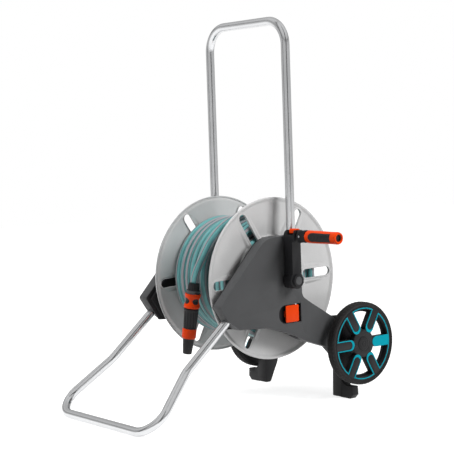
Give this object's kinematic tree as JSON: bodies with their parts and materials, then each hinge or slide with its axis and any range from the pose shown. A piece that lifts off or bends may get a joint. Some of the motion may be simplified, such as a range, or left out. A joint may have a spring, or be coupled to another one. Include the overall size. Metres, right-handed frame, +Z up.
{
  "type": "garden hose reel cart",
  "caption": "Wheeled cart that stands a slotted reel of garden hose between two side frames, with a folding crank, a sliding tube handle, a bent tube foot and a spray nozzle on the hose.",
  "frame": {"origin": "on the ground, under the middle of the footprint of the cart without its hose", "axes": "+X along the reel axle towards the crank, +Y towards the wheels, +Z up"},
  "size_m": [0.498, 0.6822, 0.8512],
  "materials": {
    "frame_grey": "fine satin moulding texture",
    "dark_plastic": "fine matt moulding texture",
    "reel_silver": "silver-grey, fine flow texture",
    "accent_orange": "semi-gloss",
    "ring_teal": "semi-gloss",
    "tube_metal": "bright drawn tube",
    "steel": "zinc plated",
    "brass": "turned",
    "collar_grey": "satin",
    "nipple_grey": "satin",
    "hose_teal": "soft sheen with grey stripes",
    "seal_rubber": "matt",
    "tyre_rubber": "matt with fine ribs",
    "bush_plastic": "natural acetal"
  },
  "bodies": {
    "chassis": {"frame_outer_right": "frame_grey", "frame_inner_right": "dark_plastic", "frame_outer_left": "frame_grey", "frame_inner_left": "dark_plastic", "frame_screws": "steel", "foot_tube": "tube_metal", "rear_foot_right": "dark_plastic", "rear_foot_left": "dark_plastic", "rear_foot_bolts": "steel", "wheel_axle": "steel", "axle_retainers": "steel", "shaft_bushes": "bush_plastic", "handle_guides": "dark_plastic", "button_trays": "dark_plastic", "lock_spring_right": "steel", "lock_spring_left": "steel", "water_inlet_elbow": "dark_plastic", "water_inlet_nipple": "nipple_grey", "inlet_screws": "steel"},
    "handle": {"handle_tube": "tube_metal", "handle_end_plugs": "dark_plastic"},
    "button_right": {"lock_button_right": "accent_orange"},
    "button_left": {"lock_button_left": "accent_orange"},
    "reel": {"flange_right": "reel_silver", "flange_left": "reel_silver", "drum": "dark_plastic", "flange_screws": "steel", "drive_shaft": "steel", "water_shaft": "brass", "shaft_o_rings": "seal_rubber", "hose_outlet": "dark_plastic", "hose_tail": "hose_teal", "hose_coil": "hose_teal", "hose_end": "hose_teal", "connector_nut": "dark_plastic", "connector_body": "collar_grey", "nozzle_body": "dark_plastic", "crank_arm": "dark_plastic", "crank_cap": "collar_grey", "crank_screw": "steel", "fold_pin": "steel", "latch_spring": "steel"},
    "collar": {"connector_collar": "accent_orange"},
    "nozzle_head": {"nozzle_ring": "accent_orange", "nozzle_tip": "dark_plastic"},
    "latch": {"fold_latch": "accent_orange"},
    "crank_handle": {"grip_fork": "dark_plastic", "grip_spindle": "steel", "grip_screw": "steel"},
    "grip": {"grip_sleeve": "accent_orange", "grip_inlays": "seal_rubber"},
    "wheel_right": {"tyre_right": "tyre_rubber", "rim_right": "dark_plastic", "rim_trim_right": "ring_teal", "hub_cap_right": "dark_plastic"},
    "wheel_left": {"tyre_left": "tyre_rubber", "rim_left": "dark_plastic", "rim_trim_left": "ring_teal", "hub_cap_left": "dark_plastic"}
  },
  "joints": [
    {"name": "reel_spin", "type": "hinge", "parent": "chassis", "child": "reel", "pos_m": [-0.06165, 0.0654, 0.28], "axis": [1, 0, 0], "continuous": true},
    {"name": "handle_slide", "type": "slide", "parent": "chassis", "child": "handle", "axis": [0, 0, -1], "range_m": [0, 0.14]},
    {"name": "lock_button_right_press", "type": "slide", "parent": "chassis", "child": "button_right", "axis": [-1, 0, 0], "range_m": [0, 0.0035], "stiffness_N_per_m": 600, "springref_m": -0.002, "deforming": ["lock_spring_right"]},
    {"name": "lock_button_left_press", "type": "slide", "parent": "chassis", "child": "button_left", "axis": [1, 0, 0], "range_m": [0, 0.0035], "stiffness_N_per_m": 600, "springref_m": -0.002, "deforming": ["lock_spring_left"]},
    {"name": "connector_collar_slide", "type": "slide", "parent": "reel", "child": "collar", "axis": [0.1476, 0.0523, 0.9877], "range_m": [0, 0.004], "stiffness_N_per_m": 500, "springref_m": -0.002},
    {"name": "nozzle_twist", "type": "hinge", "parent": "reel", "child": "nozzle_head", "pos_m": [-0.05265, -0.0856, 0.278], "axis": [-0.1476, -0.0523, -0.9877], "range_deg": [0, 270]},
    {"name": "fold_latch_press", "type": "slide", "parent": "reel", "child": "latch", "axis": [0, 0, -1], "range_m": [0, 0.0025], "stiffness_N_per_m": 800, "springref_m": -0.002, "deforming": ["latch_spring"]},
    {"name": "crank_fold", "type": "hinge", "parent": "reel", "child": "crank_handle", "pos_m": [0.13735, 0.0654, 0.376], "axis": [0, 1, 0], "range_deg": [0, 90]},
    {"name": "grip_spin", "type": "hinge", "parent": "crank_handle", "child": "grip", "pos_m": [0.15465, 0.0654, 0.376], "axis": [1, 0, 0], "continuous": true},
    {"name": "wheel_right_spin", "type": "hinge", "parent": "chassis", "child": "wheel_right", "pos_m": [0.11435, 0.2484, 0.122], "axis": [1, 0, 0], "continuous": true},
    {"name": "wheel_left_spin", "type": "hinge", "parent": "chassis", "child": "wheel_left", "pos_m": [-0.23765, 0.2484, 0.122], "axis": [1, 0, 0], "continuous": true}
  ]
}
